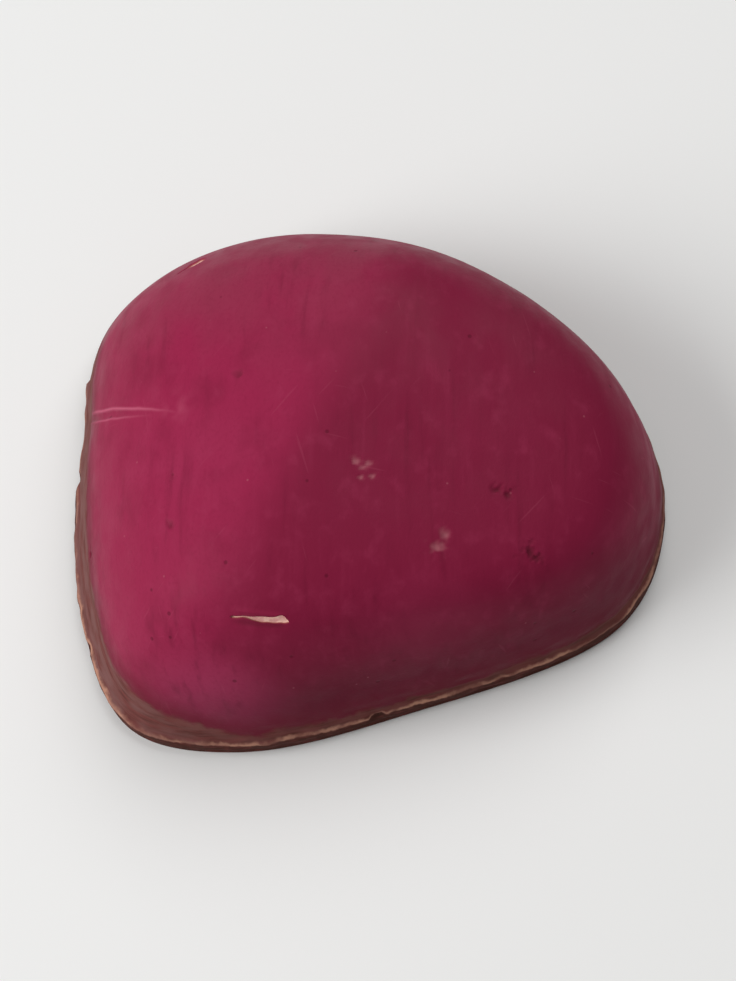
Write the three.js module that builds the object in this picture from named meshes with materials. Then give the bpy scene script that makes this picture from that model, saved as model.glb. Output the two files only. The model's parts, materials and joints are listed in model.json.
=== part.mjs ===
// Half a kola nut: one of the two thick seed leaves of the seed, lying on its split face.
// Millimetres, +Z up. X runs along the nut, Y across it, and the split face lies at Z = 0.

import * as THREE from "three";
import { mergeVertices } from "three/addons/utils/BufferGeometryUtils.js";

// Driving dimensions
const LENGTH = 40;
const WIDTH = 36;
const THICKNESS = 15.5;

// The rim seen from above, anticlockwise from the right-hand end, in shares of half the length and width.
// The left side is nearly straight and the lower right is a long slant, pressed flat by nuts beside it.
const OUTLINE = [
  [1.0, -0.14],
  [0.92, 0.27],
  [0.61, 0.655],
  [0.12, 0.95],
  [-0.48, 0.98],
  [-0.92, 0.68],
  [-1.0, 0.1],
  [-0.95, -0.53],
  [-0.78, -0.91],
  [-0.42, -1.0],
  [0.12, -0.87],
  [0.85, -0.53],
];
const OUTLINE_SAMPLES = 720;

// The dome: smaller powers give steeper walls and a flatter crown. The left side slopes most gently.
const STEEP_POWER = 0.47;
const GENTLE_POWER = 1.16;
const GENTLE_TURN = THREE.MathUtils.degToRad(160);
const CROWN_POWER = 0.9;

// Two broad pressed facets meet in a rounded ridge across the top of the dome, and round off into its walls.
const RIDGE_X = -2;
const FACETS = [
  { towards: 156, fall: 10 },
  { towards: 336, fall: 13 },
]; // the way each facet faces and how steeply it falls, in degrees
const RIDGE_BLEND = 1.2;
const FACET_BLEND = 3;

// The corky rim: a rounded foot, a lip at the widest line, and a sloping margin from the lip up to the skin.
// The margin is widest at the lower left, where the skin stops furthest from the lip.
const LIP_HEIGHT = 1.5;
const FOOT_INSET = 0.22;
const MARGIN_TOP = 3.6;
const MARGIN_WIDTH = 0.35;
const MARGIN_EXTRA = 0.65;
const MARGIN_TURN = THREE.MathUtils.degToRad(210);

// The cleft at the left-hand end, where the root would come out: a notch under the rim and a dent over it
const CLEFT_TURN = THREE.MathUtils.degToRad(167);
const CLEFT_SPREAD = 1.8;
const NOTCH_RISE = 0.5;
const NOTCH_HEIGHT = 4;
const DENT_DEPTH = 0.35;
const DENT_HEIGHT = 9;

// The split face: a shallow hollow inside a flat border, and the seat of the germ in a groove from the cleft.
const HOLLOW_DEPTH = 0.7;
const BORDER = 0.72; // where the flat border starts, as a share of the way out to the rim
const CLEFT_LENGTH = 11;
const SEAT_DEPTH = 0.8;
const SEAT_PLACE = 6; // from the rim to the middle of the seat
const SEAT_SPREAD = 3;

// Mesh divisions: across the dome and the split face, and up the wall
const ACROSS = 28;
const UP = 12;
const RIM_CROWDING = 1.8; // over 1, it brings the wall's rows closer together near the rim

const { clamp, smoothstep } = THREE.MathUtils;

function bell(distance, spread) {
  return Math.exp(-((distance / spread) ** 2));
}

// The smaller of two values, with the corner between them rounded off over the blend
function softMin(a, b, blend) {
  const share = clamp(0.5 + (b - a) / (2 * blend), 0, 1);
  return b + (a - b) * share - blend * share * (1 - share);
}

// The outline as a table of radius against angle, read by outlineRadius
const outlineCurve = new THREE.CatmullRomCurve3(
  OUTLINE.map(
    ([x, y]) => new THREE.Vector3((x * LENGTH) / 2, (y * WIDTH) / 2, 0),
  ),
  true,
);
const outlineTable = outlineCurve
  .getSpacedPoints(OUTLINE_SAMPLES)
  .slice(1)
  .map((point) => ({
    turn: Math.atan2(point.y, point.x),
    radius: Math.hypot(point.x, point.y),
  }))
  .sort((a, b) => a.turn - b.turn);

function outlineRadius(turn) {
  const found = outlineTable.findIndex((entry) => entry.turn > turn);
  const after = outlineTable.at(Math.max(found, 0));
  const before = outlineTable.at(Math.max(found, 0) - 1);
  const fullTurn = 2 * Math.PI;
  const step = THREE.MathUtils.euclideanModulo(after.turn - before.turn, fullTurn);
  const share = THREE.MathUtils.euclideanModulo(turn - before.turn, fullTurn) / step;
  return THREE.MathUtils.lerp(before.radius, after.radius, share);
}

// Height of the facets over a point on the plan
function facetHeight(x, y) {
  const heights = FACETS.map(({ towards, fall }) => {
    const way = THREE.MathUtils.degToRad(towards);
    const along = (x - RIDGE_X) * Math.cos(way) + y * Math.sin(way);
    return THICKNESS - along * Math.tan(THREE.MathUtils.degToRad(fall));
  });
  return softMin(heights[0], heights[1], RIDGE_BLEND);
}

// How far the surface lies inside the outline because of the rim, at a turn and a height above the split face
function rimInset(turn, height) {
  const foot = FOOT_INSET * (1 - Math.min(height / LIP_HEIGHT, 1)) ** 2;
  const extra = MARGIN_EXTRA * Math.max(Math.cos(turn - MARGIN_TURN), 0) ** 2;
  const margin = (MARGIN_WIDTH + extra) * smoothstep(height, LIP_HEIGHT, MARGIN_TOP);
  return foot + margin;
}

// Where a point on the plan lies about the cleft: how far in from the rim, and how strongly the cleft acts
function cleftAt(x, y) {
  const along = x * Math.cos(CLEFT_TURN) + y * Math.sin(CLEFT_TURN);
  const aside = y * Math.cos(CLEFT_TURN) - x * Math.sin(CLEFT_TURN);
  const inward = outlineRadius(CLEFT_TURN) - along;
  const share = bell(aside, CLEFT_SPREAD) * (1 - smoothstep(inward, 0, CLEFT_LENGTH));
  return { inward, share };
}

// A point of the outside, for a direction from the middle of the split face
function outsidePoint(direction) {
  const turn = Math.atan2(direction.y, direction.x);
  const climb = Math.asin(clamp(direction.z, 0, 1));
  const radius = outlineRadius(turn);
  const gentle = ((1 + Math.cos(turn - GENTLE_TURN)) / 2) ** 2;
  const wallPower = THREE.MathUtils.lerp(STEEP_POWER, GENTLE_POWER, gentle);
  const dome = THICKNESS * Math.sin(climb) ** CROWN_POWER;
  const reach = radius * Math.cos(climb) ** wallPower;
  const x = reach * Math.cos(turn);
  const y = reach * Math.sin(turn);
  const cleft = cleftAt(x, y).share;
  const dent = DENT_DEPTH * cleft * (1 - smoothstep(dome, 0, DENT_HEIGHT));
  const notch = NOTCH_RISE * cleft * (1 - smoothstep(dome, 0, NOTCH_HEIGHT));
  const kept = 1 - (rimInset(turn, dome) + dent) / radius;
  const height = softMin(dome, facetHeight(x, y), FACET_BLEND) + notch;
  return new THREE.Vector3(x * kept, y * kept, height);
}

// A point of the split face: a share of the way from its middle out to the rim, along a turn
function splitFacePoint(turn, share) {
  const radius = outlineRadius(turn);
  const x = share * radius * Math.cos(turn);
  const y = share * radius * Math.sin(turn);
  const cleft = cleftAt(x, y);
  const hollow = HOLLOW_DEPTH * Math.max(1 - (share / BORDER) ** 2, 0) ** 2;
  const seat = SEAT_DEPTH * bell(cleft.inward - SEAT_PLACE, SEAT_SPREAD);
  const kept = 1 - (rimInset(turn, 0) + DENT_DEPTH * cleft.share) / radius;
  return new THREE.Vector3(x * kept, y * kept, hollow + (NOTCH_RISE + seat) * cleft.share);
}

// The nut is a box of square cells swelled to its form: top and sides make the dome, base the split face.
function nutGeometry() {
  const box = new THREE.BoxGeometry(2, 2, 1, ACROSS, ACROSS, UP).translate(0, 0, 0.5);
  box.deleteAttribute("normal");
  box.deleteAttribute("uv");
  const geometry = mergeVertices(box);
  const position = geometry.getAttribute("position");
  const cell = new THREE.Vector3();
  for (let i = 0; i < position.count; i++) {
    cell.fromBufferAttribute(position, i);
    const onCube = new THREE.Vector3(
      Math.tan((cell.x * Math.PI) / 4),
      Math.tan((cell.y * Math.PI) / 4),
      Math.tan((cell.z ** RIM_CROWDING * Math.PI) / 4),
    );
    const outward = Math.max(Math.abs(cell.x), Math.abs(cell.y));
    const onBase = cell.z === 0;
    const point = onBase
      ? splitFacePoint(Math.atan2(onCube.y, onCube.x), outward)
      : outsidePoint(onCube.normalize());
    position.setXYZ(i, point.x, point.y, point.z);
  }
  geometry.computeBoundingBox();
  const centre = geometry.boundingBox.getCenter(new THREE.Vector3());
  const size = geometry.boundingBox.getSize(new THREE.Vector3());
  geometry.translate(-centre.x, -centre.y, 0);
  geometry.scale(LENGTH / size.x, WIDTH / size.y, THICKNESS / size.z);
  geometry.computeVertexNormals();
  return geometry;
}

const skin = new THREE.MeshStandardMaterial({
  color: 0x8a2a48,
  roughness: 0.5,
  metalness: 0,
});

const nut = new THREE.Mesh(nutGeometry(), skin);
nut.name = "half_kola_nut";

const part = new THREE.Group();
part.add(nut);

export default part;
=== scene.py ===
# %% [markdown]
# Half a kola nut
# A kola nut is a seed of thick seed leaves. When it is split, each leaf comes away whole: a domed back
# under a waxy crimson skin, a thin corky rim where the skin stopped, and a pale split face underneath.
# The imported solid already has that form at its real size, so nothing here moves or resizes it. These
# cells copy it, make the copy finer, press the marks of growth and handling into it as real shape, and
# colour it with one procedural material.

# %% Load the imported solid
import json
import math
from dataclasses import dataclass

import bmesh
import bpy
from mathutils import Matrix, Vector, noise
from mathutils.bvhtree import BVHTree

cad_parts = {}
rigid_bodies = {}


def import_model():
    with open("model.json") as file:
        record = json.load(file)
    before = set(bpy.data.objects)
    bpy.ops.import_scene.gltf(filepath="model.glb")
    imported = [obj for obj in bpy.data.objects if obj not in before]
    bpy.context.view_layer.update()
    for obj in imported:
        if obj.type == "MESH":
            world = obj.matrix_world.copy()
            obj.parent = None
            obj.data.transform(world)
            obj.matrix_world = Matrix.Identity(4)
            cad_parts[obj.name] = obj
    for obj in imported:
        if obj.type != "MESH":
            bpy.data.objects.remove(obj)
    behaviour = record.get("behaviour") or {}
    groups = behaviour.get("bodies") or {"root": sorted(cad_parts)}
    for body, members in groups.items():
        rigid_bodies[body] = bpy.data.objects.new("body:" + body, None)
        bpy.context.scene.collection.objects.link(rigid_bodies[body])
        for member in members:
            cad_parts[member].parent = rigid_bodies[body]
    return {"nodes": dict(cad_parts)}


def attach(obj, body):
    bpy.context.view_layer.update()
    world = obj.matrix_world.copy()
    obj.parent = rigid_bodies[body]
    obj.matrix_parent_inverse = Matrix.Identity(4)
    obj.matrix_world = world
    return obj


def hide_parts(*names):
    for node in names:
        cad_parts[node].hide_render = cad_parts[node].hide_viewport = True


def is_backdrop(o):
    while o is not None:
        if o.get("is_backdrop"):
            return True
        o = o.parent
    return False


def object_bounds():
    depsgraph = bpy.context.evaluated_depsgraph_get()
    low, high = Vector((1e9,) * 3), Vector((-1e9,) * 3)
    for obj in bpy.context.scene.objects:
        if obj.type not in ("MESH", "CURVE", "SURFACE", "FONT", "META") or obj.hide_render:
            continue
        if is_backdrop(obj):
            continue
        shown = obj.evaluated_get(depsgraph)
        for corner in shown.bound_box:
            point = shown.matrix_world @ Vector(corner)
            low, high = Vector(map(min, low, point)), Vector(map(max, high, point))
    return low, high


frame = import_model()
cad_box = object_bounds()
solid = frame["nodes"]["half_kola_nut"]
MM = 0.001
print("packed solid, mm:", [round(side / MM, 2) for side in cad_box[1] - cad_box[0]])

# %% [markdown]
# The working mesh
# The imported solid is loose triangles, too coarse for fine marks. It could be remeshed into even cells,
# but that would blur the lip of the rim. Merging its points and pairing its triangles gives back the
# squares it was made of, and two rounds of subdivision then round them off and follow the form.

# %% Copy, pair into squares and subdivide
WELD = 0.002 * MM
FINER = 2

draft = bmesh.new()
draft.from_mesh(solid.data)
bmesh.ops.remove_doubles(draft, verts=draft.verts, dist=WELD)
bmesh.ops.join_triangles(
    draft, faces=draft.faces, angle_face_threshold=math.pi, angle_shape_threshold=math.pi
)
coarse = bpy.data.meshes.new("coarse_nut")
draft.to_mesh(coarse)
draft.free()

nut = bpy.data.objects.new("half_nut", coarse)
bpy.context.scene.collection.objects.link(nut)
rounding = nut.modifiers.new("rounding", "SUBSURF")
rounding.levels = FINER
rounding.render_levels = FINER
depsgraph = bpy.context.evaluated_depsgraph_get()
nut_mesh = bpy.data.meshes.new_from_object(nut.evaluated_get(depsgraph))
nut.modifiers.clear()
nut.data = nut_mesh
nut_mesh.name = "half_nut"
bpy.data.meshes.remove(coarse)
print("working mesh:", len(nut_mesh.polygons), "faces")

# %% [markdown]
# Runs on the skin
# The back of this nut carries a torn scar, a lifted flake and a pair of fine crease lines that run up from
# the cleft. Each is kept as a short run between two points of the plan, because a ray cast straight down
# finds the skin under them. A run says how far along it and how far beside it a place lies, in
# millimetres, which is all that pressing a mark needs.

# %% A run, and the ray that lays it on the skin
ABOVE = 30

shape = bmesh.new()
shape.from_mesh(nut.data)
skin_tree = BVHTree.FromBMesh(shape)


@dataclass
class Run:
    """A straight run between two places on the skin, in millimetres."""

    start: Vector
    end: Vector

    def distance(self, place):
        """The distance from a place to the nearest point of the run."""
        way = self.end - self.start
        share = (place - self.start).dot(way) / way.length_squared
        return (place - self.start - way * min(max(share, 0), 1)).length

    def measure(self, place, normal):
        """How far along the run a place is, from 0 to 1, and how far it lies to the run's left side."""
        way = self.end - self.start
        offset = place - self.start
        left = normal.cross(way).normalized()
        return offset.dot(way) / way.length_squared, offset.dot(left)


def on_skin(x, y):
    found = skin_tree.ray_cast(Vector((x, y, ABOVE)) * MM, Vector((0, 0, -1)))
    return found[0] / MM


def run_over(start, end):
    return Run(on_skin(*start), on_skin(*end))


print("height at the middle, mm:", round(on_skin(0, 0).z, 2))

# %% [markdown]
# Where the marks are
# These are the marks that make it this nut and no other. The tears have opened the skin. The grazes, a
# cluster of pits and a nick, have only scraped it. The stains are dimples and specks. Grazes and stains are
# small enough to be dots, each with a place and a size.

# %% Places of the marks
@dataclass
class Dot:
    """A small round mark on the skin, in millimetres."""

    place: Vector
    size: float

    def distance(self, place):
        return (place - self.place).length


def dots_over(*marks):
    return [Dot(on_skin(x, y), size) for x, y, size in marks]


SCAR = run_over((-7.2, -12.8), (-3.7, -13.2))
FLAKE = run_over((-12.2, 12.6), (-10.5, 13.8))
CREASE = run_over((-17.9, 3.6), (-10.8, 0.65))
PITS = dots_over(
    (0.6, -3.5, 0.2),
    (1.0, -3.9, 0.16),
    (1.4, -3.6, 0.15),
    (1.6, -4.4, 0.17),
    (0.9, -4.5, 0.13),
)
NICK = dots_over((5.6, -8.7, 0.34), (6.1, -7.9, 0.24))
DIMPLES = dots_over((11.2, -8.6, 0.42), (11.6, -8.9, 0.34), (9.3, -4.9, 0.32), (9.9, -5.1, 0.28))
SPECKS = dots_over((-7.0, 2.9, 0.3), (-11.2, -3.4, 0.24), (-11.2, -6.8, 0.26), (-17.8, -5.9, 0.36))
MARKS = [SCAR, FLAKE, CREASE, *PITS, *NICK, *DIMPLES, *SPECKS]
print("marks:", len(MARKS))

# %% [markdown]
# Finer squares under the marks
# A scar half a millimetre wide needs points closer together than the squares of the working mesh. Making
# the whole nut that fine would cost hundreds of thousands of faces. Splitting only the squares near the
# marks, twice, gives them the points they need. Along the edge of a split some faces are left with more
# than four sides, and those are cut into triangles.

# %% Split the squares near each mark
SPLIT_REACHES = (1.8, 1.4)


def split_near(marks, reach):
    """Splits in four every face whose middle lies within reach of one of the marks."""
    for face in shape.faces:
        middle = face.calc_center_median() / MM
        face.tag = any(mark.distance(middle) < reach for mark in marks)
    edges = [edge for edge in shape.edges if any(face.tag for face in edge.link_faces)]
    bmesh.ops.subdivide_edges(shape, edges=edges, cuts=1, use_grid_fill=True)


for split_reach in SPLIT_REACHES:
    split_near(MARKS, split_reach)
many_sided = [face for face in shape.faces if len(face.verts) > 4]
bmesh.ops.triangulate(shape, faces=many_sided)
print("with finer squares:", len(shape.faces), "faces")

# %% [markdown]
# Measuring the surface
# Before a point is moved, four things about it are noted: its place, its normal, how far in from the rim
# it lies on the plan, and whether it is on the split face. The rim's outline isn't a circle, so its reach
# is measured from the mesh itself, in narrow sectors around the middle.

# %% Reach of the rim, and a note for each point
SECTORS = 240
RIM_TOP = 4


def smooth(low, high, value):
    """0 below low, 1 above high, and an even curve between them."""
    share = min(max((value - low) / (high - low), 0), 1)
    return share * share * (3 - 2 * share)


def bell(distance, spread):
    """1 at no distance, falling away over the spread."""
    return math.exp(-((distance / spread) ** 2))


def sector_of(place):
    return (math.atan2(place.y, place.x) / math.tau) % 1 * SECTORS


sector_reach = [0] * SECTORS
for vertex in shape.verts:
    flat_place = (vertex.co / MM).xy
    if vertex.co.z < RIM_TOP * MM:
        sector = int(sector_of(flat_place)) % SECTORS
        sector_reach[sector] = max(sector_reach[sector], flat_place.length)


def rim_reach(place):
    """How far the rim is from the middle, in the direction of a place."""
    position = sector_of(place) - 0.5
    before = math.floor(position)
    share = position - before
    return sector_reach[before % SECTORS] * (1 - share) + sector_reach[(before + 1) % SECTORS] * share


@dataclass
class Spot:
    """One point of the surface, in millimetres."""

    place: Vector
    normal: Vector
    inward: float  # how far in from the rim, on the plan
    under: float  # 1 on the split face, 0 on the outside


def note(vertex):
    """The note of one point. It is on the split face if it looks down and lies in from the rim."""
    place = vertex.co / MM
    inward = rim_reach(place) - place.xy.length
    under = smooth(0.25, 0.6, -vertex.normal.z) * smooth(0.1, 0.5, inward)
    return Spot(place, vertex.normal.copy(), inward, under)


shape.normal_update()
spots = [note(vertex) for vertex in shape.verts]
print("rim reach, mm:", round(min(sector_reach), 2), "to", round(max(sector_reach), 2))

# %% [markdown]
# Swells of the back
# Nothing grown is quite even. The back rises and falls by a tenth of a millimetre or so, in swells a
# finger's breadth across, with a fainter puckering over them. A displace modifier could do it, but each
# form here is a small function that gives a height at a spot, so that all of them can be added up and
# pressed in together.

# %% Swells
SWELL_HEIGHT = 0.13
PUCKER_HEIGHT = 0.025


def rough(place, per_mm, shift=0):
    """Even noise from -1 to 1, with so many waves to the millimetre."""
    return noise.noise(place * per_mm + Vector((shift, shift, shift)))


def swell(spot):
    """Swells of the back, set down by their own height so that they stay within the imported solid."""
    slow = SWELL_HEIGHT * rough(spot.place, 0.09)
    pucker = PUCKER_HEIGHT * rough(spot.place, 0.4, 7)
    off_rim = smooth(2.5, 6, spot.place.z) * (1 - spot.under)
    return off_rim * (slow + pucker - SWELL_HEIGHT)


forms = [swell]
print("swell at the crown, mm:", round(swell(max(spots, key=lambda spot: spot.place.z)), 3))

# %% [markdown]
# The corky rim
# Where the skin stopped, the rim is left as a thin corky lip with a soft groove above it, uneven along
# its length and chipped here and there from the splitting. It runs round the whole nut, so noise that is
# read at the place itself is used, which has no seam, squeezed in height so that the wear follows the rim.

# %% Groove, wear and chips along the rim
LIP = 1.5
MARGIN = 3.4
RIM_SET_BACK = 0.12
GROOVE_DEPTH = 0.16
GROOVE_RISE = 0.75  # from the lip up to the groove
RIDGE_HEIGHT = 0.05
WEAR_HEIGHT = 0.09
CHIP_DEPTH = 0.3


def rim_wear(spot):
    place = spot.place
    plan = Vector((place.x, place.y, 0))
    below_skin = 1 - smooth(MARGIN - 0.6, MARGIN + 0.4, place.z)
    on_rim = smooth(0.1, 0.5, place.z) * below_skin * (1 - spot.under)
    drift = 0.2 * rough(plan, 0.25, 3)
    groove = GROOVE_DEPTH * bell(place.z - LIP - GROOVE_RISE - drift, 0.32)
    ridges = RIDGE_HEIGHT * rough(Vector((place.x * 0.35, place.y * 0.35, place.z * 2.6)), 1, 5)
    wear = WEAR_HEIGHT * rough(place, 0.9, 11)
    chip = CHIP_DEPTH * smooth(0.3, 0.5, rough(plan, 0.5, 17)) * bell(place.z - LIP, 0.5)
    return on_rim * (ridges + wear - groove - chip - RIM_SET_BACK)


forms.append(rim_wear)
print("deepest rim wear, mm:", round(min(rim_wear(spot) for spot in spots), 3))

# %% [markdown]
# The tears
# Near the lower edge something has torn the skin: a short wedge of pale flesh, thin at its left end and
# thick at its right, with a lifted lip of skin over it. A smaller flake has lifted on the far shoulder.
# A texture alone would look printed, so both are pressed in, and the same mask is kept on the points for
# the colour.

# %% Scar and flake
TEAR_REACH = 1.5
TEAR_DEPTH = 0.22
SCAR_WIDEST = 0.16
FLAKE_WIDEST = 0.3
FLAKE_STRENGTH = 0.72
LIFTED_LIP = 0.1
LIFT_GAP = 0.46


def tear(run, widest, spot):
    """1 in a tear along a run, from a thin tail at its start to a hooked end."""
    if run.distance(spot.place) > TEAR_REACH:
        return 0
    share, left = run.measure(spot.place, spot.normal)
    hook = bell(share - 0.9, 0.09)
    bow = 0.06 * math.sin(share * 3) + 0.08 * rough(spot.place, 1.6) + 0.13 * hook
    half = 0.045 + widest * smooth(0.2, 0.6, share) + 0.07 * hook
    half *= math.sqrt(1 - smooth(0.92, 1.04, share)) * smooth(-0.05, 0.05, share)
    return 1 - smooth(half - 0.05, half + 0.05, abs(left - bow)) if half > 0.02 else 0


def tears(spot):
    return max(tear(SCAR, SCAR_WIDEST, spot), FLAKE_STRENGTH * tear(FLAKE, FLAKE_WIDEST, spot))


def beside_scar(spot, gap, spread):
    """1 on a soft line along the scar, at a gap to its left, or to its right if the gap is below 0."""
    if SCAR.distance(spot.place) > TEAR_REACH:
        return 0
    share, left = SCAR.measure(spot.place, spot.normal)
    return smooth(-0.05, 0.3, share) * (1 - smooth(0.85, 1.05, share)) * bell(left - gap, spread)


def torn_shape(spot):
    return LIFTED_LIP * beside_scar(spot, LIFT_GAP, 0.16) - TEAR_DEPTH * tears(spot)


forms.append(torn_shape)
print("points in the tears:", sum(tears(spot) > 0.5 for spot in spots))

# %% [markdown]
# The crease
# From the cleft at the left two fine pale lines run a little way up the back, side by side, with a shallow
# furrow between them. They are raised by less than a tenth of a millimetre, and fade out into a blur.

# %% Crease lines
CREASE_GAP = 0.34
CREASE_REACH = 4
LINE_RISE = 0.07
FURROW_DEPTH = 0.12
BLUR = on_skin(-11.2, 1.3)


def crease_lines(spot):
    """1 on the two fine lines of the crease."""
    if CREASE.distance(spot.place) > CREASE_REACH:
        return 0
    share, left = CREASE.measure(spot.place, spot.normal)
    gap = CREASE_GAP * (1 - 0.5 * smooth(0.2, 1, share))
    drift = 0.06 * rough(spot.place, 0.9, 2)
    upper = bell(left - gap - drift, 0.09) * (1 - smooth(0.5, 1.05, share))
    lower = bell(left + gap - drift, 0.07) * (1 - smooth(0.3, 0.8, share))
    blur = 0.4 * bell((spot.place - BLUR).length, 0.9) * smooth(-0.3, 0.6, rough(spot.place, 1.3))
    return max(upper, 0.8 * lower, blur) * smooth(-0.2, -0.05, share)


def crease(spot):
    if CREASE.distance(spot.place) > CREASE_REACH:
        return 0
    share, left = CREASE.measure(spot.place, spot.normal)
    furrow = bell(left, 0.3) * smooth(-0.2, 0, share) * (1 - smooth(0.3, 0.8, share))
    return LINE_RISE * crease_lines(spot) - FURROW_DEPTH * furrow


forms.append(crease)
print("points on the crease lines:", sum(crease_lines(spot) > 0.5 for spot in spots))

# %% [markdown]
# Small marks
# The rest are hollows a few tenths of a millimetre across. The pits and the nick have grazed the skin and
# show paler. The dimples and the specks are stained, and a shadow is painted along the foot of the scar.
# Noise in the size of a dot gives it a ragged outline.

# %% Pits, nick, dimples and specks
DOT_REACH = 1.2
GRAZE_DEPTH = 0.09
STAIN_DEPTH = 0.14


def ragged(dots, spot):
    """1 in the middle of the nearest of some dots, falling away to a ragged outline."""
    distances = [(dot.distance(spot.place), dot.size) for dot in dots]
    if min(distances)[0] > DOT_REACH:
        return 0
    wobble = 0.85 + 0.9 * rough(spot.place, 1.7, 31) + 0.7 * rough(spot.place, 3.6, 37)
    return max(bell(distance, size * max(wobble, 0.3)) for distance, size in distances)


def pale_marks(spot):
    """1 where a small mark has grazed the skin."""
    return max(ragged(PITS, spot), 0.8 * ragged(NICK, spot))


def dark_marks(spot):
    """1 where a small mark is stained or pressed in, and on a painted shadow along the foot of the scar."""
    # A painted shadow along the foot of the scar.
    painted_scar_shadow = 0.5 * beside_scar(spot, -0.3, 0.22)
    return max(0.9 * ragged(DIMPLES, spot), 0.65 * ragged(SPECKS, spot), painted_scar_shadow)


def small_marks(spot):
    return -GRAZE_DEPTH * pale_marks(spot) - STAIN_DEPTH * dark_marks(spot)


forms.append(small_marks)
print("points in small marks:", sum(small_marks(spot) < -0.04 for spot in spots))

# %% [markdown]
# The split face
# Underneath, the flesh parted along its natural seam. A narrow ring round the edge is the cut of the skin,
# set off by a fine groove. Inside it the flesh has faint wrinkles that fan out from the seat of the germ at
# the cleft. All of it goes up into the nut, so the nut still lies flat on its border.

# %% Relief of the split face
CLEFT = Vector((-19.0, 4.2, 0))
SKIN_RING = 1.1
RING_DEPTH = 0.14
WRINKLE_HEIGHT = 0.1
FLESH_SET_IN = 0.12


def wrinkle(spot):
    """Folds from -1 to 1 that fan out from the cleft, on the flesh of the split face."""
    from_cleft = spot.place - CLEFT
    fan = math.atan2(from_cleft.y, from_cleft.x)
    fold = noise.noise(Vector((fan * 9, from_cleft.length * 0.12, 4)))
    return fold * spot.under * smooth(SKIN_RING, SKIN_RING + 1.5, spot.inward)


def split_relief(spot):
    inside = smooth(SKIN_RING, SKIN_RING + 1.5, spot.inward)
    unevenness = 0.03 * rough(spot.place, 1.1, 21)
    ring = RING_DEPTH * bell(spot.inward - SKIN_RING - 0.08 * rough(spot.place, 0.5, 9), 0.2)
    return WRINKLE_HEIGHT * wrinkle(spot) + spot.under * (inside * (unevenness - FLESH_SET_IN) - ring)


forms.append(split_relief)
print("deepest relief underneath, mm:", round(min(split_relief(spot) for spot in spots), 3))

# %% [markdown]
# Pressing the forms in
# Now every point moves along its normal by the sum of the forms, and the masks that the colours need are
# kept on the points as attributes. Attributes ride with the mesh, so the colours stay on their marks from
# any side.

# %% Move the points and keep the masks
MASKS = {
    "underside": lambda spot: spot.under,
    "inward": lambda spot: spot.inward,
    "wrinkle": wrinkle,
    "torn": tears,
    "crease": crease_lines,
    "pale": pale_marks,
    "dark": dark_marks,
}
for name, mask in MASKS.items():
    layer = shape.verts.layers.float.new(name)
    for vertex, spot in zip(shape.verts, spots):
        vertex[layer] = mask(spot)
for vertex, spot in zip(shape.verts, spots):
    vertex.co += spot.normal * sum(form(spot) for form in forms) * MM
    vertex.co.z = max(vertex.co.z, 0)
for face in shape.faces:
    face.smooth = True
shape.to_mesh(nut.data)
print("closed:", all(edge.is_manifold for edge in shape.edges), "faces:", len(shape.faces))
shape.free()

# %% [markdown]
# Laying out a material in code
# A material is a tree of nodes. A few helpers keep the code close to how one would say it: add a node, feed
# a socket with a value or with another node, ramp a value between two limits, and mix two colours by a
# mask.

# %% Node helpers
class Nodes:
    """Adds nodes to one tree and joins them."""

    def __init__(self, tree):
        self.tree = tree

    def add(self, kind, **settings):
        node = self.tree.nodes.new(kind)
        for name, value in settings.items():
            setattr(node, name, value)
        return node

    def feed(self, socket, value):
        if isinstance(value, bpy.types.NodeSocket):
            self.tree.links.new(value, socket)
        else:
            socket.default_value = value

    def calc(self, operation, first, second):
        node = self.add("ShaderNodeMath", operation=operation)
        self.feed(node.inputs[0], first)
        self.feed(node.inputs[1], second)
        return node.outputs[0]

    def plus(self, first, second):
        return self.calc("ADD", first, second)

    def times(self, first, second):
        return self.calc("MULTIPLY", first, second)

    def ramp(self, value, low, high, bottom=0.0, top=1.0):
        """An even curve from bottom, where the value is low, to top, where it is high."""
        node = self.add("ShaderNodeMapRange", interpolation_type="SMOOTHSTEP")
        for socket, given in zip(node.inputs, (value, low, high, bottom, top)):
            self.feed(socket, given)
        return node.outputs["Result"]

    def mix(self, mask, first, second):
        node = self.add("ShaderNodeMix", data_type="RGBA")
        self.feed(node.inputs["Factor"], mask)
        for name, colour in (("A", first), ("B", second)):
            socket = next(s for s in node.inputs if s.name == name and s.type == "RGBA")
            self.feed(socket, colour if isinstance(colour, bpy.types.NodeSocket) else (*colour, 1))
        return next(s for s in node.outputs if s.type == "RGBA")

    def mask(self, name):
        return self.add("ShaderNodeAttribute", attribute_name=name).outputs["Fac"]


print("node helpers ready")

# %% [markdown]
# Grain, as a group
# Skin, cork and flesh all have a grain: fine, and drawn out along the way the seed grew. It is the same
# noise each time with another stretch, so it is built once as a group with named sockets and placed where
# needed. The stretch is in waves to the millimetre along X, Y and Z.

# %% Grain group
def grain_group():
    group = bpy.data.node_groups.new("grain", "ShaderNodeTree")
    group.interface.new_socket("Place", in_out="INPUT", socket_type="NodeSocketVector")
    group.interface.new_socket("Stretch", in_out="INPUT", socket_type="NodeSocketVector")
    group.interface.new_socket("Detail", in_out="INPUT", socket_type="NodeSocketFloat")
    group.interface.new_socket("Grain", in_out="OUTPUT", socket_type="NodeSocketFloat")
    inner = Nodes(group)
    given = inner.add("NodeGroupInput")
    result = inner.add("NodeGroupOutput")
    stretched = inner.add("ShaderNodeVectorMath", operation="MULTIPLY")
    inner.feed(stretched.inputs[0], given.outputs["Place"])
    inner.feed(stretched.inputs[1], given.outputs["Stretch"])
    field = inner.add("ShaderNodeTexNoise")
    inner.feed(field.inputs["Vector"], stretched.outputs[0])
    inner.feed(field.inputs["Scale"], 1.0)
    inner.feed(field.inputs["Detail"], given.outputs["Detail"])
    inner.feed(result.inputs["Grain"], field.outputs[0])
    return group


GRAIN = grain_group()
print("group:", GRAIN.name)

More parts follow.
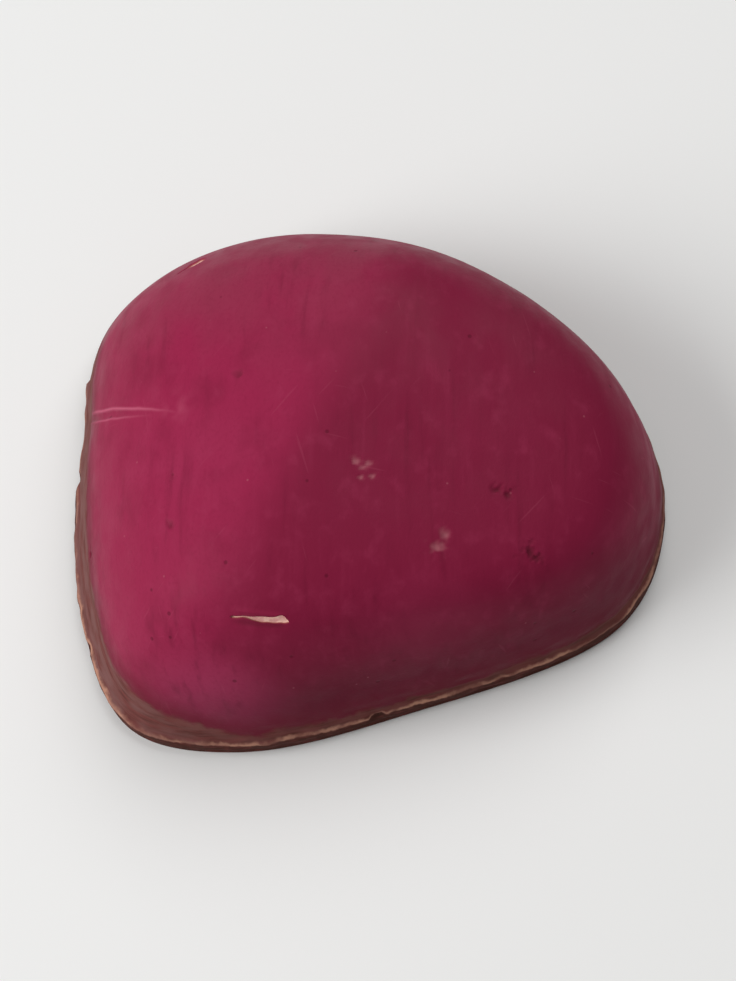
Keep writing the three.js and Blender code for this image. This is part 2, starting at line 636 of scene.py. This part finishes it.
# %% [markdown]
# The material's place and height
# Everything is read from Object coordinates, turned into millimetres, so that a stretch or a height in the
# tree is a real size. The height tells cork from skin, because the rim lies at the foot of the nut.

# %% Start the material
finish = bpy.data.materials.new("kola_skin")
finish.use_nodes = True
finish.node_tree.nodes.clear()
build = Nodes(finish.node_tree)

where = build.add("ShaderNodeTexCoord").outputs["Object"]
in_mm = build.add("ShaderNodeVectorMath", operation="MULTIPLY")
build.feed(in_mm.inputs[0], where)
build.feed(in_mm.inputs[1], (1 / MM, 1 / MM, 1 / MM))
place_mm = in_mm.outputs[0]
apart = build.add("ShaderNodeSeparateXYZ")
build.feed(apart.inputs[0], place_mm)
x_mm, y_mm, z_mm = apart.outputs


def grain_at(place, stretch, detail):
    node = build.add("ShaderNodeGroup", node_tree=GRAIN)
    build.feed(node.inputs["Place"], place)
    build.feed(node.inputs["Stretch"], stretch)
    build.feed(node.inputs["Detail"], detail)
    return node.outputs["Grain"]


def grain(x, y, z, detail=3.0):
    return grain_at(place_mm, (x, y, z), detail)


def wander(size, x, y, z):
    """Grain about zero, to move a limit to and fro by up to about half the size."""
    return build.times(build.calc("SUBTRACT", grain(x, y, z), 0.5), size)


def distance_to(place):
    node = build.add("ShaderNodeVectorMath", operation="DISTANCE")
    build.feed(node.inputs[0], place_mm)
    build.feed(node.inputs[1], place)
    return node.outputs["Value"]


print("material:", finish.name)

# %% [markdown]
# The crimson skin
# The skin is a deep crimson with light and shade painted into it: painted lighter on the left of the soft
# ridge and darker on its right, with a faint grey painted sheen towards the far side, a painted highlight on
# the wall at the lower left, and a painted shadow low on the near wall. Broad clouds of tone and faint
# streaks that run across the nut keep it from looking dyed. Each of them is a small change of the same
# colour.

# %% Skin colour
PAINTED_LIT_CRIMSON = (0.289, 0.017, 0.062)
DEEP_TONE_AND_SHADE = (0.21, 0.0115, 0.042)
CLOUD = (0.332, 0.032, 0.086)
# The dark pore colour also serves for a painted shadow low on the near wall.
PORE_AND_PAINTED_SHADE = (0.08, 0.004, 0.014)
PAINTED_SHEEN = (0.23, 0.054, 0.078)
PAINTED_HIGHLIGHT = (0.45, 0.046, 0.13)
PAINTED_HIGHLIGHT_PLACE = (-8.5, -16.3, 6)
PAINTED_HIGHLIGHT_REACH = 6.0
RIDGE_LEAN = 0.45  # how far the ridge shifts along X for each millimetre of Y

# Painted light and shade: the skin is painted lighter on the left of the soft ridge and darker on its right.
# The deep crimson also serves for real clouds and pebbling.
ridge_side = build.calc("SUBTRACT", x_mm, build.times(y_mm, RIDGE_LEAN))
skin = build.mix(build.ramp(ridge_side, -4.5, 0.5), PAINTED_LIT_CRIMSON, DEEP_TONE_AND_SHADE)
skin = build.mix(build.ramp(grain(0.1, 0.1, 0.1), 0.45, 0.75, 0.0, 0.35), skin, CLOUD)
skin = build.mix(build.ramp(grain(0.35, 0.3, 0.35, 4.0), 0.45, 0.75, 0.0, 0.5), skin, DEEP_TONE_AND_SHADE)
skin = build.mix(build.ramp(grain(0.9, 0.7, 0.9), 0.5, 0.8, 0.0, 0.3), skin, CLOUD)

# A painted sheen: a faint grey veil laid on towards the far side.
far_painted_sheen = build.ramp(y_mm, -1.0, 14.0, 0.0, 0.36)
skin = build.mix(build.times(far_painted_sheen, build.ramp(grain(0.22, 0.16, 0.22), 0.3, 0.65)), skin, PAINTED_SHEEN)
# A painted highlight on the wall at the lower left.
skin = build.mix(build.ramp(distance_to(PAINTED_HIGHLIGHT_PLACE), 1.0, PAINTED_HIGHLIGHT_REACH, 0.85, 0.0), skin, PAINTED_HIGHLIGHT)
# A painted shadow low on the near right wall, darker towards the foot.
near_right_painted_shadow = build.ramp(build.calc("SUBTRACT", build.times(x_mm, 0.3), y_mm), 8.0, 15.0)
skin = build.mix(build.times(near_right_painted_shadow, build.ramp(z_mm, 11.5, 5.0, 0.0, 0.62)), skin, PORE_AND_PAINTED_SHADE)

patches = build.ramp(grain(0.16, 0.12, 0.16), 0.4, 0.65)
streaks = grain(1.5, 0.14, 0.6, 5.0)
skin = build.mix(build.times(patches, build.ramp(streaks, 0.5, 0.8, 0.0, 0.35)), skin, PORE_AND_PAINTED_SHADE)
skin = build.mix(build.times(patches, build.ramp(streaks, 0.5, 0.2, 0.0, 0.3)), skin, CLOUD)
pebble = grain(4.5, 3.2, 4.5, 2.0)
skin = build.mix(build.ramp(pebble, 0.45, 0.8, 0.0, 0.25), skin, DEEP_TONE_AND_SHADE)
print("skin nodes:", len(finish.node_tree.nodes))

# %% [markdown]
# Pores and scuffs
# Close to, the skin has a scatter of pale and dark pores, and a few hair-thin scuffs from handling. The
# pores are dots in some of the cells of a Voronoi texture. A scuff is the same grain as before, drawn out
# very long, and turned so that the scuffs don't all run one way.

# %% Pores and scuffs
PALE_PORE = (0.5, 0.16, 0.2)
SCUFF = (0.5, 0.1, 0.17)
SCUFF_TURNS = (12, 74, 131)
SCUFF_SHARE = 0.09


def pores(per_mm, share, size):
    """A mask of scattered round dots: so many cells to the millimetre, and the share of them with a dot."""
    cells = build.add("ShaderNodeTexVoronoi", feature="F1")
    build.feed(cells.inputs["Vector"], place_mm)
    build.feed(cells.inputs["Scale"], per_mm)
    chance = build.add("ShaderNodeSeparateColor")
    build.feed(chance.inputs[0], cells.outputs["Color"])
    kept = build.calc("LESS_THAN", chance.outputs[0], share)
    return build.times(kept, build.ramp(cells.outputs["Distance"], size * 0.5, size, 1.0, 0.0))


def scuffs(turn):
    """A mask of a few short hair-thin scuffs, in one direction on the plan."""
    turned = build.add("ShaderNodeVectorRotate", rotation_type="Z_AXIS")
    build.feed(turned.inputs["Vector"], place_mm)
    build.feed(turned.inputs["Angle"], math.radians(turn))
    return build.ramp(grain_at(turned.outputs[0], (0.2, 3.4, 0.3), 1.0), 0.75, 0.8)


dark_pores = pores(0.8, 0.12, 0.14)
skin = build.mix(build.times(dark_pores, 0.5), skin, PORE_AND_PAINTED_SHADE)
skin = build.mix(build.times(pores(1.3, 0.07, 0.12), 0.25), skin, PALE_PORE)
for scuff_turn in SCUFF_TURNS:
    skin = build.mix(build.times(scuffs(scuff_turn), SCUFF_SHARE), skin, SCUFF)
print("with pores and scuffs:", len(finish.node_tree.nodes))

# %% [markdown]
# Tears and grazes in the skin
# The tears show cream flesh, browner at their edges. The crease lines and the grazed marks are a paler
# pink. Each follows the mask kept on the points.

# %% Colours of the tears, the crease and the grazes
FLESH = (0.92, 0.6, 0.5)
PINK_FLESH = (0.8, 0.4, 0.37)
TORN_EDGE = (0.42, 0.12, 0.1)
LINE = (0.55, 0.12, 0.2)
GRAZE = (0.5, 0.2, 0.22)

skin = build.mix(build.times(build.mask("crease"), 0.75), skin, LINE)
skin = build.mix(build.times(build.mask("pale"), 0.5), skin, GRAZE)
torn = build.mask("torn")
flesh = build.mix(build.ramp(grain(3, 6, 3), 0.4, 0.65), FLESH, PINK_FLESH)
skin = build.mix(build.ramp(torn, 0.1, 0.5), skin, TORN_EDGE)
skin = build.mix(build.ramp(torn, 0.4, 0.8), skin, flesh)
print("with tears:", len(finish.node_tree.nodes))

# %% [markdown]
# Cork along the rim
# Below the skin comes a brown margin, ashy where it has weathered, then the thin tan line of the lip, and
# under it the dark foot. The limits wander with the grain, and the margin climbs higher along the left,
# where the skin stopped furthest from the lip. Height decides which colour shows, so the bands run round
# the nut by themselves.

# %% Rim colours
BROWN = (0.17, 0.047, 0.043)
DARK_BROWN = (0.075, 0.026, 0.02)
ASH = (0.195, 0.09, 0.084)
TAN = (0.47, 0.235, 0.165)
MAROON = (0.14, 0.008, 0.022)
STAIN_AND_SHADE = (0.07, 0.012, 0.016)
MARGIN_CLIMB = 2.3
SKIN_EDGE = (2.25, 3.05)  # all cork below the first height, all skin above the second
MAROON_EDGE = (2.6, 5.6)

low_left = build.calc("SUBTRACT", build.times(x_mm, -0.97), build.times(y_mm, 0.26))
climb = build.ramp(low_left, 11.0, 18.5, 0.0, MARGIN_CLIMB)
level = build.plus(z_mm, build.plus(wander(1.5, 0.45, 0.45, 0.2), wander(0.9, 1.6, 1.6, 1.6)))
margin_level = build.calc("SUBTRACT", level, climb)

cork_grain = grain(0.5, 0.5, 4.0, 5.0)
cork = build.mix(build.ramp(cork_grain, 0.35, 0.75, 0.0, 0.7), BROWN, DARK_BROWN)
ashen = build.ramp(grain(0.5, 0.5, 1.5, 4.0), 0.35, 0.65, 0.1, 0.85)
cork = build.mix(build.times(ashen, build.ramp(x_mm, -7.0, -17.0, 0.3, 1.0)), cork, ASH)

lip_level = build.plus(z_mm, build.plus(wander(0.5, 2.0, 2.0, 1.0), wander(0.5, 0.4, 0.4, 0.2)))
above_foot = build.ramp(lip_level, LIP - 0.1, LIP + 0.15)
lip = build.times(above_foot, build.ramp(lip_level, LIP + 0.22, LIP + 0.5, 1.0, 0.0))
front = build.ramp(y_mm, 2.0, -12.0, 0.4, 1.0)
worn = build.ramp(grain(0.55, 0.55, 0.3, 4.0), 0.36, 0.56, 0.25, 1.0)
cork = build.mix(build.times(lip, build.times(front, worn)), cork, TAN)
foot = build.mix(build.ramp(grain(1.2, 1.2, 3.0, 4.0), 0.45, 0.7, 0.0, 0.6), DARK_BROWN, BROWN)
cork = build.mix(build.calc("SUBTRACT", 1.0, above_foot), cork, foot)
cork = build.mix(build.ramp(distance_to(CLEFT), 0.8, 2.6, 0.8, 0.0), cork, STAIN_AND_SHADE)

skin = build.mix(build.ramp(margin_level, *MAROON_EDGE, 0.75, 0.0), skin, MAROON)
bare = build.ramp(margin_level, *SKIN_EDGE, 1.0, 0.0)
outside = build.mix(bare, skin, cork)
# Stains of the dimples and specks, and the painted shadow along the foot of the scar.
outside = build.mix(build.times(build.mask("dark"), 0.6), outside, STAIN_AND_SHADE)
print("with cork:", len(finish.node_tree.nodes))

# %% [markdown]
# Flesh of the split face
# Fresh from the split, the flesh is cream with a pink flush that deepens towards the skin, and browner in
# its wrinkles. The ring at the edge is the cut of the skin and cork. The seat of the germ, at the cleft,
# is stained brown.

# %% Split face colours
CREAM = (0.68, 0.46, 0.3)
FLUSH = (0.55, 0.16, 0.17)
VEIN = (0.5, 0.24, 0.17)
FLESH_PORE = (0.28, 0.1, 0.06)
GERM = (0.22, 0.08, 0.05)

inward = build.mask("inward")
face = build.mix(build.ramp(build.plus(inward, wander(5.0, 0.4, 0.4, 0.4)), 1.0, 9.0), FLUSH, CREAM)
face = build.mix(build.ramp(build.mask("wrinkle"), 0.1, 0.5, 0.0, 0.55), face, VEIN)
face = build.mix(build.ramp(grain(0.9, 0.9, 0.9, 5.0), 0.45, 0.75, 0.0, 0.3), face, VEIN)
face = build.mix(build.times(pores(0.8, 0.35, 0.22), 0.45), face, FLESH_PORE)
ring_edge = build.plus(inward, wander(0.6, 1.2, 1.2, 1.2))
face = build.mix(build.ramp(ring_edge, SKIN_RING - 0.3, SKIN_RING + 0.15, 1.0, 0.0), face, BROWN)
face = build.mix(build.ramp(distance_to(CLEFT), 2.0, 9.0, 0.75, 0.0), face, GERM)
colour = build.mix(build.mask("underside"), outside, face)
print("with flesh:", len(finish.node_tree.nodes))

# %% [markdown]
# Gloss and fine relief
# The skin has the soft sheen of wax, duller in patches. Cork, torn flesh and the split face are dry. The
# finest relief, too small to model, is a bump: the streaks, pebbling and pores of the skin, and the grain
# of the cork.

# %% Gloss, bump and output
WAX_IOR = 1.45
WAX_SPECULAR = 0.06
WAX_ROUGHNESS = (0.4, 0.56)
DRY_ROUGHNESS = 0.32  # added to that of the wax
BUMP_STRENGTH = 0.35
BUMP_HEIGHT = 0.1 * MM

surface = build.add("ShaderNodeBsdfPrincipled")
surface.inputs["IOR"].default_value = WAX_IOR
surface.inputs["Specular IOR Level"].default_value = WAX_SPECULAR
build.feed(surface.inputs["Base Color"], colour)

dull = build.ramp(grain(0.7, 0.4, 0.7), 0.3, 0.7, *WAX_ROUGHNESS)
dry = build.calc("MAXIMUM", torn, build.calc("MAXIMUM", bare, build.mask("underside")))
build.feed(surface.inputs["Roughness"], build.plus(dull, build.times(dry, DRY_ROUGHNESS)))

skin_relief = build.plus(build.times(streaks, 0.15), build.times(pebble, 0.35))
skin_relief = build.calc("SUBTRACT", skin_relief, build.times(dark_pores, 0.4))
dry_relief = build.times(cork_grain, build.times(dry, 1.2))
bump = build.add("ShaderNodeBump")
bump.inputs["Strength"].default_value = BUMP_STRENGTH
bump.inputs["Distance"].default_value = BUMP_HEIGHT
build.feed(bump.inputs["Height"], build.plus(skin_relief, dry_relief))
build.feed(surface.inputs["Normal"], bump.outputs[0])

output = build.add("ShaderNodeOutputMaterial")
build.feed(output.inputs["Surface"], surface.outputs[0])
nut.data.materials.clear()
nut.data.materials.append(finish)
print("material nodes:", len(finish.node_tree.nodes))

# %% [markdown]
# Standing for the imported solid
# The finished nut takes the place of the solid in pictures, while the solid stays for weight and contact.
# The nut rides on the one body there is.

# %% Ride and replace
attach(nut, "root")
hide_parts("half_kola_nut")
print("riding on:", nut.parent.name)

# %% [markdown]
# Floor and light
# A wide pale floor catches a soft shadow. One large lamp to the left, fairly low, lights the left of the
# ridge more than the right and shows the swells. A wider one high on the far side lights the crown, and an
# even pale sky fills the shadows. Small lamps would give hard, bright spots that waxy skin doesn't show.

# %% Floor, lamps and sky
FLOOR_SIDE = 4.0
FLOOR_PAINT = (0.86, 0.86, 0.85, 1)
FLOOR_ROUGHNESS = 0.8
SKY_COLOUR = (1, 1, 1, 1)
SKY_STRENGTH = 0.2
LAMPS = (
    ("window", (-0.34, -0.1, 0.26), 0.3, 1.45),
    ("ceiling", (0.15, 0.28, 0.52), 0.5, 1.88),
)  # name, place and side in metres, and power in watts


def pale_floor():
    paint = bpy.data.materials.new("pale_floor")
    paint.use_nodes = True
    board = paint.node_tree.nodes["Principled BSDF"]
    board.inputs["Base Color"].default_value = FLOOR_PAINT
    board.inputs["Roughness"].default_value = FLOOR_ROUGHNESS
    flat = bmesh.new()
    bmesh.ops.create_grid(flat, x_segments=1, y_segments=1, size=FLOOR_SIDE / 2)
    mesh = bpy.data.meshes.new("floor")
    flat.to_mesh(mesh)
    flat.free()
    mesh.materials.append(paint)
    floor = bpy.data.objects.new("floor", mesh)
    bpy.context.scene.collection.objects.link(floor)
    return floor


def lamp(name, place, side, power):
    """A square lamp that faces the nut."""
    light = bpy.data.lights.new(name, "AREA")
    light.shape = "SQUARE"
    light.size = side
    light.energy = power
    holder = bpy.data.objects.new(name, light)
    holder.location = place
    holder.rotation_mode = "QUATERNION"
    holder.rotation_quaternion = (-Vector(place)).to_track_quat("-Z", "Y")
    bpy.context.scene.collection.objects.link(holder)


pale_floor()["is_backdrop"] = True
for lamp_values in LAMPS:
    lamp(*lamp_values)
sky = bpy.data.worlds.new("sky")
sky.use_nodes = True
sky.node_tree.nodes["Background"].inputs["Color"].default_value = SKY_COLOUR
sky.node_tree.nodes["Background"].inputs["Strength"].default_value = SKY_STRENGTH
bpy.context.scene.world = sky
bpy.context.scene.view_settings.view_transform = "Standard"
print("lamps:", [light.name for light in bpy.data.lights])

# %% [markdown]
# The camera
# The picture was taken from above and a little in front, so the camera looks down steeply along the same
# line. Turning it by the shortest way from straight down keeps the far side of the nut at the top.

# %% Camera
AZIMUTH = math.radians(14)
ELEVATION = math.radians(68)
DISTANCE = 167 * MM
AIM = Vector((0.5, -1.9, 6)) * MM
LENS = 94
CLIP_START = 10 * MM

back = Vector((
    math.sin(AZIMUTH) * math.cos(ELEVATION),
    -math.cos(AZIMUTH) * math.cos(ELEVATION),
    math.sin(ELEVATION),
))
camera = bpy.data.objects.new("camera", bpy.data.cameras.new("camera"))
camera.data.lens = LENS
camera.data.clip_start = CLIP_START
camera.location = AIM + back * DISTANCE
camera.rotation_mode = "QUATERNION"
camera.rotation_quaternion = Vector((0, 0, -1)).rotation_difference(-back)
bpy.context.scene.collection.objects.link(camera)
bpy.context.scene.camera = camera
print("camera, mm:", [round(value / MM) for value in camera.location])

# %% [markdown]
# Both boxes
# The dressed nut has to stay within the box of the imported solid. Both boxes are gathered, and the sides of
# the visual box are printed.

# %% Both boxes
boxes = {"cad": cad_box, "visual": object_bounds()}
{name: [list(corner) for corner in box] for name, box in boxes.items()}
print("visual box, mm:", [round(side / MM, 2) for side in boxes["visual"][1] - boxes["visual"][0]])
